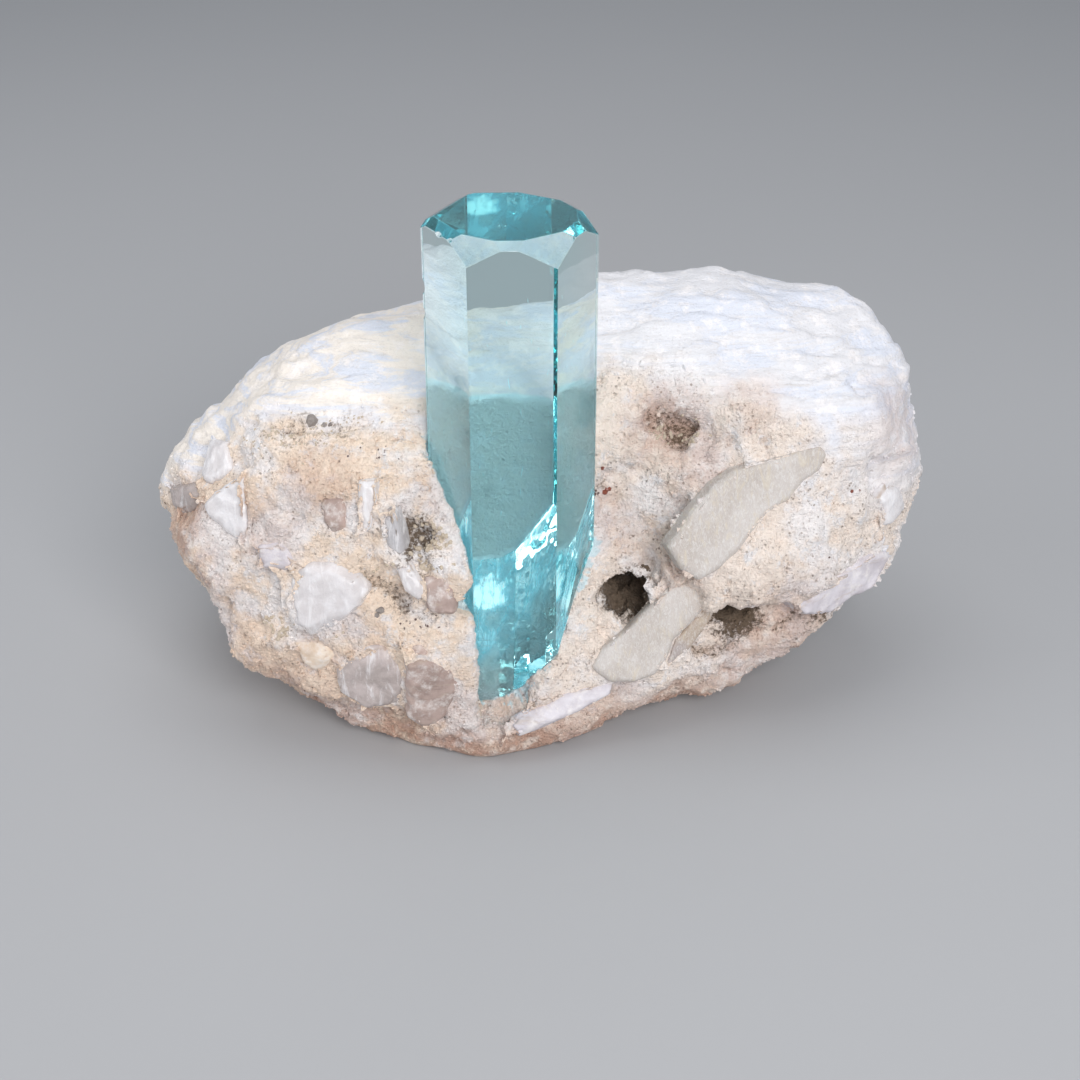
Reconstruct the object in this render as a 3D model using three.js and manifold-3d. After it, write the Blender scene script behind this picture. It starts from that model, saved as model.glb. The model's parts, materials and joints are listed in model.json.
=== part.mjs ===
import * as THREE from "three";
import { mergeVertices } from "three/addons/utils/BufferGeometryUtils.js";
import { ImprovedNoise } from "three/addons/math/ImprovedNoise.js";
import Module from "manifold-3d";

// A hexagonal aquamarine standing in a broken lump of pegmatite: sugary albite with blades and blocks
// of feldspar and quartz. Millimetres, +Z up. The origin is on the sawn base of the lump.

const CLEARANCE = 0.3; // between a crystal and the socket that holds it

// The prism stands on this axis, and each of its faces has a distance of its own from it.
const PRISM_AXIS = new THREE.Vector2(-3.35, -15.2);
const PRISM_TURN = 2; // degrees about Z
const FACE_DISTANCES = [8.8, 8.75, 8.8, 8.9, 9.0, 8.8]; // front, then anticlockwise seen from above
const PRISM_TOP = 69;
const PYRAMID_TILT = 30; // degrees from the flat top, above each prism face
const PYRAMID_INSET = 1.3;
const CORNER_TILT = 44; // degrees from the flat top, above each prism edge
const CORNER_INSETS = [3.0, 2.5, 3.0, 1.7, 1.5, 2.7]; // front right, then anticlockwise
const HEEL_HEIGHT = 16.9; // the front face leans in below this height
const HEEL_TILT = 10; // degrees

// The oblique break that ends the prism in the rock: lowest at the front left, it rises to the right.
const BREAK_FRONT = -24;
const BREAK_LOW = 5;
const BREAK_RISE = 11.3;
const BREAK_RISE_FROM = -5.5;
const BREAK_RISE_TO = 5.5;
const BREAK_BACKWARD_SLOPE = 1;

// Chips out of the prism's edges: centre and radius of the ball that bites each one.
const CHIPS = [
  { at: [-14.9, -15.3, 60.5], radius: 1.7 },
  { at: [-14.8, -15.6, 57.2], radius: 1.5 },
  { at: [-12.4, -19.6, 68.9], radius: 1.6 },
  { at: [-10.6, -21.4, 69.2], radius: 1.3 },
  { at: [2.6, -25.2, 52], radius: 1.2 },
];

// Sections of the lump along X: x, then (y, z) of its foot, lower front, middle front, brow, crest,
// back and back foot.
const SECTIONS = [
  [-46.5, -6, 19.5, -9, 21, -10, 26, -6.5, 30.8, 3, 30.5, 10, 24, 4, 16.5],
  [-40, -12, 13, -17.5, 15.5, -18, 25, -12, 32.8, 7, 38, 18, 24, 10, 8],
  [-31, -15.8, 3.4, -21.9, 8.3, -22, 22, -15.5, 39, 9, 44, 25, 24, 17, 0],
  [-16, -20, -1.2, -25, 5.1, -24.5, 24, -17, 39.8, 12, 46.2, 29, 24, 21, -2],
  [-6.5, -24.5, -2, -28, 4.7, -26, 18, -14, 41, 14, 47.5, 30, 24, 22, -2],
  [10, -16.3, 0.2, -20.8, 7.3, -16, 20, -9, 41, 16, 48.8, 30, 24, 21, -2],
  [24, -12.2, 2, -17.6, 9, -17, 24, -7, 43, 18, 48.6, 29, 25, 19, 0],
  [37, -8, 9.3, -13.2, 14.3, -12, 26, -6, 41, 17, 47.3, 25, 26, 12, 6],
  [46, -3, 15, -5.5, 19, -6, 28, -2, 38, 10.5, 42.8, 16, 28, 7, 14],
];
const LEFT_END = [-50.6, 0, 25];
const RIGHT_END = [51.2, 3, 26];
const RINGS = 52;
const RING_POINTS = 48;
const FRONT_MIDDLE = 0.21; // place along a ring that faces the front
const FRONT_CROWDING = 0.45; // how much closer a ring's points stand there

// Knobs (positive rise) and hollows (negative) on the lump.
const SWELLINGS = [
  { at: [-29, -14, 41.5], radius: 4, rise: -1.2 },
  { at: [-24, -13, 42.5], radius: 3, rise: -1 },
  { at: [-15, -22.5, 31], radius: 3.5, rise: -2.2 },
  { at: [-19.5, -24.5, 23], radius: 2.6, rise: -2 },
  { at: [-36, -21, 21.5], radius: 3.5, rise: -1.6 },
  { at: [-41.5, -14, 19], radius: 3, rise: -1 },
  { at: [-36.5, -17, 12], radius: 4, rise: 2.6 },
  { at: [-31, -20, 6], radius: 3.5, rise: -1.4 },
  { at: [-43, -9, 33], radius: 3.5, rise: -0.8 },
  { at: [-12, -24, 28.5], radius: 3, rise: 0.8 },
  { at: [-13.5, -17, 43], radius: 3.5, rise: -1.2 },
  { at: [-10.5, -27, 11], radius: 3, rise: -1 },
  { at: [22.5, -18.5, 12.5], radius: 3, rise: -2 },
  { at: [17, -10, 40], radius: 3, rise: -2.6 },
  { at: [19.5, -11, 37.5], radius: 2.6, rise: -2.4 },
  { at: [13, -14.5, 26], radius: 5, rise: -2.4 },
  { at: [10, -13.5, 32], radius: 6, rise: -2 },
  { at: [8, -20.5, 17], radius: 2.2, rise: 2.2 },
  { at: [14.5, -17, 20], radius: 2.4, rise: 1.6 },
  { at: [33, -14.5, 22], radius: 6.5, rise: 3 },
  { at: [26, -17, 23], radius: 4.5, rise: 1.8 },
  { at: [29, -16.5, 13.5], radius: 4.5, rise: -3.2 },
  { at: [43.5, -7.5, 31], radius: 3, rise: -1.4 },
  { at: [40, -7, 38], radius: 4, rise: 1 },
  { at: [47, -2, 34], radius: 3.5, rise: 1 },
];

// Holes right into the lump: centre and half sizes.
const HOLES = [
  { at: [10.9, -15, 18], half: [3, 7, 3.2] },
  { at: [24.5, -16.5, 16], half: [3.6, 5, 1.7] },
];

// Blades and blocks set in the lump. Each outline is seen from outside, across and up from its place;
// turn and lift are degrees that its face looks to the right and upwards.
const INCLUSIONS = [
  {
    name: "upper_blade",
    colour: 0xd9d3c1,
    at: [26, -15.5, 31],
    turn: 15,
    lift: 20,
    depth: 3.6,
    edge: 0.5,
    outline: [
      [-10.9, -3.6], [-7.8, 0.1], [-4.3, 3.2], [-1.2, 4.9], [3.1, 5.4], [7.1, 6.1], [10.1, 6.5],
      [10.9, 5.3], [9.8, 3.4], [7.5, 2.2], [5.4, 0.2], [2.6, -1], [0.5, -3], [-1.6, -5.3],
      [-4.4, -7.4], [-7.1, -8.4], [-9.2, -6.8],
    ],
  },
  {
    name: "lower_blade",
    colour: 0xd8d4c8,
    at: [14.7, -20, 14.7],
    turn: 10,
    lift: 25,
    depth: 2.6,
    edge: 0.45,
    outline: [
      [2.3, 6.4], [4.6, 7.2], [7.5, 5.4], [6.6, 3], [4.5, 1.1], [2.4, -0.6], [1.3, -3.1],
      [-0.5, -4.9], [-3.1, -5.6], [-6.3, -5.2], [-8.5, -3.1], [-7.3, -1], [-3.9, 1.5], [-0.5, 4],
    ],
  },
  {
    name: "rear_blade",
    colour: 0xb9b0ac,
    at: [19, -18.2, 14.4],
    turn: 30,
    lift: 10,
    depth: 2.4,
    edge: 0.3,
    outline: [
      [-3.6, -1.6], [0.3, 2.6], [3.8, 3.2], [4.9, 2.2], [2.4, -0.6], [0, -2.7], [-2.9, -3.9],
      [-4.7, -4.1],
    ],
  },
  {
    name: "foot_blade",
    colour: 0xd3cbd2,
    at: [2, -25.2, 6.7],
    turn: 10,
    lift: 40,
    depth: 2.4,
    edge: 0.3,
    outline: [
      [-7.2, -0.8], [-4.5, 0.5], [0.8, 2.1], [7.4, 3.4], [7.9, 2], [3.1, 0], [-2.2, -1.7],
      [-6.8, -2.8],
    ],
  },
  {
    name: "quartz_lens",
    colour: 0xe9e6e2,
    at: [-27, -24.4, 22.5],
    turn: -12,
    lift: 12,
    depth: 5,
    edge: 1.8,
    outline: [
      [-4.9, 0.9], [-4, 3.4], [-1.4, 4.9], [1.5, 5], [4.6, 4], [5.9, 2], [4.7, -0.8], [2.6, -3.1],
      [-0.4, -5], [-3.8, -4.9], [-5.1, -2.4],
    ],
  },
  {
    name: "quartz_block",
    colour: 0xded9d6,
    at: [-21.5, -26, 11.4],
    turn: -8,
    lift: 0,
    depth: 5,
    edge: 1.1,
    outline: [
      [-4.3, 2.6], [-1.4, 5], [2.4, 5.7], [4.6, 5.3], [4.6, -2], [3.2, -4.1], [-0.6, -4.4],
      [-3.9, -2.8],
    ],
  },
  {
    name: "feldspar_block",
    colour: 0xd9c7bc,
    at: [-13.2, -27.5, 11.4],
    turn: 15,
    lift: -5,
    depth: 5,
    edge: 1,
    outline: [
      [-3.4, 6.2], [-0.3, 5.8], [2.4, 4], [3.4, 0.6], [1.7, -4.8], [-0.9, -6.3], [-3.2, -3.9],
    ],
  },
  {
    name: "tan_block",
    colour: 0xe2cfa9,
    at: [-28.2, -24.1, 14.4],
    turn: -18,
    lift: 0,
    depth: 4,
    edge: 0.7,
    outline: [
      [-3.2, 1.3], [1.4, 2], [2.7, 0.8], [0.5, -2.8], [-1.9, -1.6],
    ],
  },
  {
    name: "lilac_block",
    colour: 0xd9d2da,
    at: [-32.3, -21.5, 27.1],
    turn: -12,
    lift: 25,
    depth: 3.5,
    edge: 0.5,
    outline: [
      [-3.1, 1.3], [0.3, 2.3], [2.7, 0.2], [2.3, -1.2], [-2.3, -1.1],
    ],
  },
  {
    name: "left_plate",
    colour: 0xe4dfe0,
    at: [-39, -16.5, 30.3],
    turn: -35,
    lift: 20,
    depth: 4,
    edge: 0.6,
    outline: [
      [-5.3, 0.6], [1.6, 6.1], [3.3, 0.5], [3.7, -2.7], [0.3, -2.2], [-3.3, -0.9],
    ],
  },
  {
    name: "end_quartz",
    colour: 0xcfcac9,
    at: [-45.7, -9.1, 28.6],
    turn: -57,
    lift: 15,
    depth: 3.5,
    edge: 0.7,
    outline: [
      [-5, -0.2], [0.7, 2.6], [3.9, 2], [2.8, -0.2], [-0.3, -2.7], [-3, -2.5],
    ],
  },
  {
    name: "corner_plate",
    colour: 0xe0dcdd,
    at: [-40.8, -11.1, 34.4],
    turn: -45,
    lift: 35,
    depth: 3,
    edge: 0.5,
    outline: [
      [-2.1, -2.7], [-3.2, 2.9], [0.5, 3.6], [2.6, 0.8], [1.1, -1.9],
    ],
  },
  {
    name: "white_tab",
    colour: 0xe6e2e3,
    at: [-20.7, -21.6, 34.4],
    turn: -8,
    lift: 22,
    depth: 3,
    edge: 0.4,
    outline: [
      [-1.5, 3.2], [1, 3.6], [1.1, 1], [0.4, -2.8], [-1.2, -3.5],
    ],
  },
  {
    name: "grey_tab",
    colour: 0xc4cad0,
    at: [-17.8, -23, 31.2],
    turn: -20,
    lift: 10,
    depth: 3,
    edge: 0.4,
    outline: [
      [-1.7, 3], [-0.1, 3.6], [1.4, -1], [1.2, -2.6], [-0.6, -2.2],
    ],
  },
  {
    name: "pink_feldspar",
    colour: 0xe3cdc2,
    at: [-25, -21.2, 32.9],
    turn: -12,
    lift: 18,
    depth: 3,
    edge: 0.4,
    outline: [
      [-1.8, 2.1], [1.4, 2.5], [1.5, -1.5], [-0.9, -2.4],
    ],
  },
  {
    name: "white_wedge",
    colour: 0xe9e4e2,
    at: [-15.5, -25, 25.5],
    turn: -5,
    lift: 15,
    depth: 3,
    edge: 0.5,
    outline: [
      [-2.3, 2.6], [-0.4, 3], [1.7, -0.3], [1.4, -2.5], [-0.9, -0.8],
    ],
  },
  {
    name: "pink_wedge",
    colour: 0xe2c8ba,
    at: [-11.9, -25.9, 24.1],
    turn: 0,
    lift: 12,
    depth: 3,
    edge: 0.5,
    outline: [
      [-2.2, 2.4], [0.7, 2.8], [1.9, -0.4], [1.8, -2.2], [-1.8, -1.8],
    ],
  },
  {
    name: "right_panel",
    colour: 0xdcdcdc,
    at: [46, -6.7, 25.9],
    turn: 48,
    lift: 5,
    depth: 4,
    edge: 0.5,
    outline: [
      [-3.2, 2.4], [-0.9, 3.6], [2.8, 1.8], [3, -1.6], [-0.6, -2.6], [-2.5, -1.5],
    ],
  },
  {
    name: "ledge_plate",
    colour: 0xd2ccd2,
    at: [40, -12, 17.3],
    turn: 35,
    lift: 5,
    depth: 4,
    edge: 0.5,
    outline: [
      [-9.6, 0.6], [-0.8, 2.1], [6.3, 3.9], [8.2, 1.1], [5.5, -2.2], [0.3, -2.3], [-2.8, -3.2],
      [-8, -1.8],
    ],
  },
];

const wasm = await Module();
wasm.setup();
const noise = new ImprovedNoise();
const degrees = THREE.MathUtils.degToRad;

function solidFrom(geometry) {
  const bare = geometry.clone();
  for (const name of Object.keys(bare.attributes)) if (name !== "position") bare.deleteAttribute(name);
  const merged = mergeVertices(bare, 1e-4);
  return new wasm.Manifold(
    new wasm.Mesh({
      numProp: 3,
      vertProperties: new Float32Array(merged.attributes.position.array),
      triVerts: new Uint32Array(merged.index.array),
    }),
  );
}

function meshFrom(solid, name, colour, roughness) {
  const cut = solid.getMesh();
  const geometry = new THREE.BufferGeometry();
  geometry.setAttribute("position", new THREE.BufferAttribute(new Float32Array(cut.vertProperties), 3));
  geometry.setIndex(new THREE.BufferAttribute(new Uint32Array(cut.triVerts), 1));
  geometry.computeVertexNormals();
  const material = new THREE.MeshStandardMaterial({ color: colour, roughness, metalness: 0 });
  const mesh = new THREE.Mesh(geometry, material);
  mesh.name = name;
  return mesh;
}

// A ball or, with three half sizes, an egg.
function ball(at, half) {
  return solidFrom(new THREE.SphereGeometry(1, 14, 10).scale(...half).translate(...at));
}

// --- the aquamarine ---

// The height of the break; in front of the prism the rim of rock goes on level.
function breakHeight(x, y) {
  const rise = BREAK_RISE * THREE.MathUtils.smoothstep(x, BREAK_RISE_FROM, BREAK_RISE_TO);
  return BREAK_LOW + rise + BREAK_BACKWARD_SLOPE * Math.max(y - BREAK_FRONT, 0);
}

// Everything under the break, round the prism, with its top lowered by drop.
function underBreak(drop) {
  const box = new THREE.BoxGeometry(32, 40, 80, 16, 10, 1).translate(PRISM_AXIS.x, BREAK_FRONT + 8, -40);
  const place = box.attributes.position;
  for (let i = 0; i < place.count; i += 1) {
    if (place.getZ(i) > -1) place.setZ(i, breakHeight(place.getX(i), place.getY(i)) - drop);
  }
  return solidFrom(box);
}

// The prism with its flat top, pyramid facets and broken foot; grow moves every face outwards.
function prism(grow) {
  let solid = solidFrom(new THREE.BoxGeometry(40, 40, 2 * PRISM_TOP + 10));
  const trim = (x, y, z, offset) => {
    solid = solid.trimByPlane([-x, -y, -z], -offset - grow);
  };
  const trimTilted = (facing, tilt, reach, height) => {
    const [across, up] = [Math.sin(tilt), Math.cos(tilt)];
    trim(Math.cos(facing) * across, Math.sin(facing) * across, up, reach * across + height * up);
  };
  trim(0, 0, 1, PRISM_TOP);
  FACE_DISTANCES.forEach((distance, k) => {
    const facing = degrees(60 * k - 90 + PRISM_TURN);
    trim(Math.cos(facing), Math.sin(facing), 0, distance);
    trimTilted(facing, degrees(PYRAMID_TILT), distance - PYRAMID_INSET, PRISM_TOP);
    const corner = distance / Math.cos(degrees(30)) - CORNER_INSETS[k];
    trimTilted(facing + degrees(30), degrees(CORNER_TILT), corner, PRISM_TOP);
  });
  trimTilted(degrees(PRISM_TURN - 90), degrees(90 + HEEL_TILT), FACE_DISTANCES[0], HEEL_HEIGHT);
  return solid.translate([PRISM_AXIS.x, PRISM_AXIS.y, 0]).subtract(underBreak(grow));
}

function chippedPrism() {
  return CHIPS.reduce(
    (solid, chip) => solid.subtract(ball(chip.at, [chip.radius, chip.radius, chip.radius])),
    prism(0),
  );
}

// --- the lump of rock ---

// A closed skin through the sections, with its ring points crowded towards the front.
function skin() {
  const rails = [];
  for (let k = 0; k < 7; k += 1) {
    const through = SECTIONS.map(
      (section) => new THREE.Vector3(section[0], section[1 + 2 * k], section[2 + 2 * k]),
    );
    const ends = [new THREE.Vector3(...LEFT_END), new THREE.Vector3(...RIGHT_END)];
    rails.push(new THREE.CatmullRomCurve3([ends[0], ...through, ends[1]]));
  }
  const along = (t) => t - (FRONT_CROWDING * Math.sin(2 * Math.PI * (t - FRONT_MIDDLE))) / (2 * Math.PI);
  const positions = [...LEFT_END];
  for (let i = 1; i < RINGS; i += 1) {
    const ring = new THREE.CatmullRomCurve3(rails.map((rail) => rail.getPoint(i / RINGS)), true);
    for (let j = 0; j < RING_POINTS; j += 1) {
      positions.push(...ring.getPoint((along(j / RING_POINTS) + 1) % 1).toArray());
    }
  }
  positions.push(...RIGHT_END);
  const last = positions.length / 3 - 1;
  const at = (i, j) => 1 + (i - 1) * RING_POINTS + (j % RING_POINTS);
  const faces = [];
  for (let j = 0; j < RING_POINTS; j += 1) {
    faces.push(0, at(1, j), at(1, j + 1));
    for (let i = 1; i < RINGS - 1; i += 1) {
      faces.push(at(i, j), at(i + 1, j), at(i + 1, j + 1));
      faces.push(at(i, j), at(i + 1, j + 1), at(i, j + 1));
    }
    faces.push(last, at(RINGS - 1, j + 1), at(RINGS - 1, j));
  }
  const geometry = new THREE.BufferGeometry();
  geometry.setAttribute("position", new THREE.Float32BufferAttribute(positions, 3));
  geometry.setIndex(faces);
  return geometry;
}

// Moves each point of the skin along its normal, by broad and fine noise and by the swellings.
function roughen(geometry) {
  geometry.computeVertexNormals();
  const place = geometry.attributes.position;
  const p = new THREE.Vector3();
  const normal = new THREE.Vector3();
  for (let i = 0; i < place.count; i += 1) {
    p.fromBufferAttribute(place, i);
    normal.fromBufferAttribute(geometry.attributes.normal, i);
    let move = 1.5 * noise.noise(p.x / 13, p.y / 13, p.z / 13);
    move += 0.8 * noise.noise(p.x / 5 + 40, p.y / 5, p.z / 5);
    for (const { at, radius, rise } of SWELLINGS) {
      const distance = Math.hypot(p.x - at[0], p.y - at[1], p.z - at[2]);
      move += rise * Math.exp(-((distance / radius) ** 2));
    }
    p.addScaledVector(normal, move);
    place.setXYZ(i, p.x, p.y, p.z);
  }
  return geometry;
}

// The open space in front of the prism, down to the rim that its break was torn from.
function openFront() {
  const front = new THREE.BoxGeometry(16.3, 20, 60).translate(0.1, -26, 32);
  return solidFrom(front).subtract(underBreak(0));
}

// --- the inclusions ---

// An outline moved outwards by the same distance all round.
function widened(outline, by) {
  const count = outline.length;
  const points = outline.map(([x, y]) => new THREE.Vector2(x, y));
  const outward = Math.sign(THREE.ShapeUtils.area(points)) * by;
  return points.map((point, i) => {
    const before = point.clone().sub(points[(i + count - 1) % count]).normalize();
    const after = points[(i + 1) % count].clone().sub(point).normalize();
    const normals = [new THREE.Vector2(before.y, -before.x), new THREE.Vector2(after.y, -after.x)];
    const mitre = normals[0].clone().add(normals[1]);
    return point.clone().addScaledVector(mitre, outward / (1 + normals[0].dot(normals[1])));
  });
}

function placed(geometry, { at, turn, lift }) {
  const across = new THREE.Vector3(Math.cos(degrees(turn)), Math.sin(degrees(turn)), 0);
  const facing = new THREE.Vector3(across.y, -across.x, 0).multiplyScalar(Math.cos(degrees(lift)));
  facing.z = Math.sin(degrees(lift));
  const up = facing.clone().cross(across);
  const place = new THREE.Matrix4().makeBasis(across, up, facing).setPosition(...at);
  return solidFrom(geometry.applyMatrix4(place));
}

function inclusion(item) {
  const { outline, depth, edge } = item;
  const shape = new THREE.Shape(widened(outline, -edge));
  const bevelSegments = edge > 0.9 ? 3 : 1;
  const options = { depth: depth - 2 * edge, bevelThickness: edge, bevelSize: edge, bevelSegments };
  return placed(new THREE.ExtrudeGeometry(shape, options).translate(0, 0, edge - depth), item);
}

function socket(item) {
  const shape = new THREE.Shape(widened(item.outline, CLEARANCE));
  const options = { depth: item.depth + 2 * CLEARANCE, bevelEnabled: false };
  return placed(new THREE.ExtrudeGeometry(shape, options).translate(0, 0, -item.depth - CLEARANCE), item);
}

// --- the whole ---

const group = new THREE.Group();
group.add(meshFrom(chippedPrism(), "aquamarine", 0x8fcfd2, 0.05));

let sockets = prism(CLEARANCE);
for (const item of INCLUSIONS) {
  group.add(meshFrom(inclusion(item).subtract(sockets), item.name, item.colour, 0.5));
  sockets = sockets.add(socket(item));
}

let rock = solidFrom(roughen(skin())).trimByPlane([0, 0, 1], 0).subtract(sockets).subtract(openFront());
for (const { at, half } of HOLES) rock = rock.subtract(ball(at, half));
const pieces = rock.decompose().sort((a, b) => b.volume() - a.volume());
group.add(meshFrom(pieces[0], "matrix", 0xe8ddd2, 0.9));

export default group;
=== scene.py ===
"""An aquamarine prism standing in a broken lump of pegmatite.

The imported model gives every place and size. This file gives the surfaces: the laminated and sugary
albite of the lump, its grains, the blades and blocks set in it, the clear crystal with its break and
flaws, and a plain studio. Shapes are worked out in millimetres and written in metres.
"""

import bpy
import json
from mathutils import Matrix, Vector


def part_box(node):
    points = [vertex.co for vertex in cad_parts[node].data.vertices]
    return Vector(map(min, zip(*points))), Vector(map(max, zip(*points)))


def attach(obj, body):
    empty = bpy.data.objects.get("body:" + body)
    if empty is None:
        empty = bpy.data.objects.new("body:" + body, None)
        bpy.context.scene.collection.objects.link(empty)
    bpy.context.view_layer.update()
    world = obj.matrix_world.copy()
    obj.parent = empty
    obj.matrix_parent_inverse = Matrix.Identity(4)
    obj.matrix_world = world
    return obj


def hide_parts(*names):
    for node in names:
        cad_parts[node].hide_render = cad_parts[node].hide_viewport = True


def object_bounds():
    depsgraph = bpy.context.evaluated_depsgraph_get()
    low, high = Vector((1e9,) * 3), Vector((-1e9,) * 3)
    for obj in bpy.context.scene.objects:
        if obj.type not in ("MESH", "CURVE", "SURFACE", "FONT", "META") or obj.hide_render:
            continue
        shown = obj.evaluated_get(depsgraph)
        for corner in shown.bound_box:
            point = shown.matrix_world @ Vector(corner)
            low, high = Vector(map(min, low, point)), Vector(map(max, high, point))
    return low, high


bl_info = {
    "name": "Aquamarine on matrix",
    "version": (1, 0, 0),
    "blender": (4, 5, 0),
    "location": "View3D > Sidebar > Specimen",
    "description": "Builds the surfaces of an aquamarine specimen around its packed model",
    "category": "Add Mesh",
}

import json
import math

import bmesh
import bpy
import numpy as np
from bpy.props import FloatProperty, FloatVectorProperty, IntProperty, PointerProperty
from mathutils import Euler, Matrix, Vector, noise
from mathutils.bvhtree import BVHTree

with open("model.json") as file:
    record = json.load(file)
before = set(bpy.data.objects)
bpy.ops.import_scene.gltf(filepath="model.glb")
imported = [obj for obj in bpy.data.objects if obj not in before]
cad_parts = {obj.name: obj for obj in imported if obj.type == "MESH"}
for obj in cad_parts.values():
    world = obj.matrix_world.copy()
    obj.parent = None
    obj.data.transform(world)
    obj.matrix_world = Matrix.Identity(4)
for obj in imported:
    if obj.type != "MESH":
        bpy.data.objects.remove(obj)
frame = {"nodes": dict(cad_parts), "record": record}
CAD_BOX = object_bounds()

MM = 0.001
WELD = 2e-6
DONE = {"FINISHED"}

# Room kept free round the crystal, and how near the crystal or the lump something counts as beside it.
STONE_GAP = 0.2 * MM
GRAIN_GAP = 0.25 * MM
SOCKET_REACH = 1.2 * MM
RIM_REACH = 0.9 * MM

# The lowest height of a grain, and the first seed of the grains and of the flecks.
GRAIN_FLOOR = 1.2 * MM
GRAIN_SEED = 40
FLECK_SEED = 77

# Which way up the crystal's break and heel face, and the foot that keeps its edges sharp.
BREAK_FACING = -0.3
HEEL_FACING = -0.08
SHARP_FOOT = 17 * MM
WORN_ANGLE = math.radians(12)
ONE_PLANE = math.radians(0.6)
WIDE_FACE = 2e-6
# The centre of the brightest painted light on the break film, in millimetres.
GLOW_CENTRE = Vector((-7, -10, 18.5))

SENSOR_WIDTH = 36
GLASS_BOUNCES = 24
FLOOR_HALF = 2
SKY_TINT = (0.86, 0.92, 1, 1)

# Without a seed, noise vectors change from run to run.
NOISE_SEED = 1
noise.seed_set(NOISE_SEED)

SLOT_OF = {part["node"]: part["material_slot"] for part in frame["record"]["subparts"]}
BLADES = [n for n in sorted(SLOT_OF) if SLOT_OF[n] in ("blade", "shaded_blade")]
QUARTZ = [n for n in sorted(SLOT_OF) if SLOT_OF[n] in ("quartz", "grey_quartz")]
FELDSPAR = [n for n in sorted(SLOT_OF) if SLOT_OF[n].endswith("feldspar")]
STONES = BLADES + QUARTZ + FELDSPAR

CLEAR = ("quartz_block", "end_quartz")

# What each point of the lump's skin tells its finish.
POINT_VALUES = ("plateau", "relief", "cream", "rust", "soot", "socket")

# The front edge of the smooth plateau: at each x, how far back the sugary front gives way to it.
PLATEAU_EDGE_X = (-50, -38, -29, -14, 2, 9, 20, 28, 36, 45)
PLATEAU_EDGE_Y = (-8, -11, -12.5, -13, -12, -5, -6.5, -8.5, -10.5, -9)

# Rust stains: place, reach and strength, in millimetres.
RUST = (
    ((-45, -11, 26), 5, 0.75),
    ((-41, -15, 22), 5, 0.5),
    ((-33, -19, 7), 8, 0.55),
    ((-26, -23, 5), 7, 0.45),
    ((-27, -19.5, 37), 4.5, 0.42),
    ((-13, -23, 37), 4, 0.35),
    ((-28, -24, 14), 3.5, 0.4),
    ((-12, -26, 9), 5, 0.4),
    ((16, -9, 39), 5, 0.62),
    ((20, -10.5, 35), 4, 0.5),
    ((9, -13, 29), 4, 0.35),
    ((27, -8, 42), 4, 0.25),
    ((31, -15, 11.5), 8, 0.55),
    ((18, -17, 24), 4, 0.4),
    ((46, -3, 36), 6, 0.3),
    ((-4, -26, 1.5), 8, 0.45),
    ((19, -12.5, 31), 4, 0.3),
    ((12, -14.5, 26), 4, 0.3),
    ((31, -16, 18), 5, 0.35),
    ((25, -8, 42.5), 3, 0.3),
    ((34, -14, 20), 3.5, 0.25),
    ((-34, -19, 30), 5, 0.35),
    ((-38, -17, 12), 7, 0.3),
    ((-22, -24, 17), 4, 0.25),
)
# Painted shade darkening pits, cracks and recesses: place, reach and strength, in millimetres.
PIT_SHADE = (
    ((-15.1, -22.4, 31), 3.2, 0.75),
    ((-14.5, -23, 26.5), 2.2, 0.45),
    ((-29.3, -13.4, 41.4), 3.2, 0.4),
    ((-24.5, -13.4, 41.8), 2.4, 0.4),
    ((15, -8.4, 39.6), 2.0, 0.5),
    ((17.6, -8.7, 37.8), 2.4, 0.6),
    ((10.9, -12, 17.6), 4.6, 1.1),
    ((24.5, -13, 15), 4.4, 1.1),
    ((36, -12.5, 15.2), 4, 0.7),
    ((8.2, -12, 32), 1.6, 0.4),
)

# Craters: centre, reach and depth, in millimetres.
PITS = (
    ((14.2, -8.6, 39.8), 2.2, 1.0),
    ((17.4, -8.9, 38), 2.5, 1.3),
    ((16.4, -9.6, 36.6), 1.4, 0.8),
    ((26.5, -9.5, 39.5), 1.2, 0.5),
    ((9.4, -12, 32.6), 1.6, 0.8),
    ((-15.3, -23.2, 31.4), 2.6, 0.9),
    ((-14.6, -24, 27.4), 1.8, 0.7),
    ((-30.5, -12.8, 41), 1.8, 0.6),
    ((-25.4, -13.4, 41.2), 1.3, 0.6),
    ((-34.5, -21.8, 20), 1.8, 0.6),
)

# Where the walls are most ragged: centre, reach and height, in millimetres.
RAGGED = (
    ((10.9, -16, 18), 7, 1.7),
    ((24.5, -17, 16), 6, 1.1),
    ((-15, -23.5, 30), 5, 0.9),
    ((17, -9, 38), 5, 0.7),
)

# Small minerals on the lump: kind, centre, spread, how many, and half their width, in millimetres.
ACCENTS = (
    ("garnet", (7.8, -12, 34.5), 0.1, 1, 0.55),
    ("garnet", (8.3, -11.8, 31.2), 0.5, 3, 0.42),
    ("garnet", (41, -9, 30), 1.2, 2, 0.3),
    ("dark", (7.2, -12.4, 31.2), 0.5, 6, 0.24),
    ("dark", (34.5, -13, 22.3), 0.8, 5, 0.2),
    ("dark", (-19.5, -17, 39), 2.6, 14, 0.15),
    ("dark", (-14, -25.6, 20.6), 2.8, 14, 0.16),
    ("dark", (-26, -22.5, 8), 4, 10, 0.2),
    ("chip", (-28, -12, 41.2), 0.1, 1, 1.0),
    ("chip", (-26, -12.8, 41.2), 1.6, 4, 0.45),
    ("chip", (-19.5, -24.4, 21.5), 1.6, 4, 0.5),
    ("olive", (-29, -13.8, 40.2), 7, 150, 0.2),
    ("olive", (-15, -22.8, 31), 3.6, 170, 0.34),
    ("olive", (-14.4, -23.6, 27), 3.2, 110, 0.32),
    ("olive", (17.2, -8.9, 38), 2.8, 70, 0.24),
    ("olive", (-31.5, -23.3, 18), 4, 120, 0.28),
)

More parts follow.
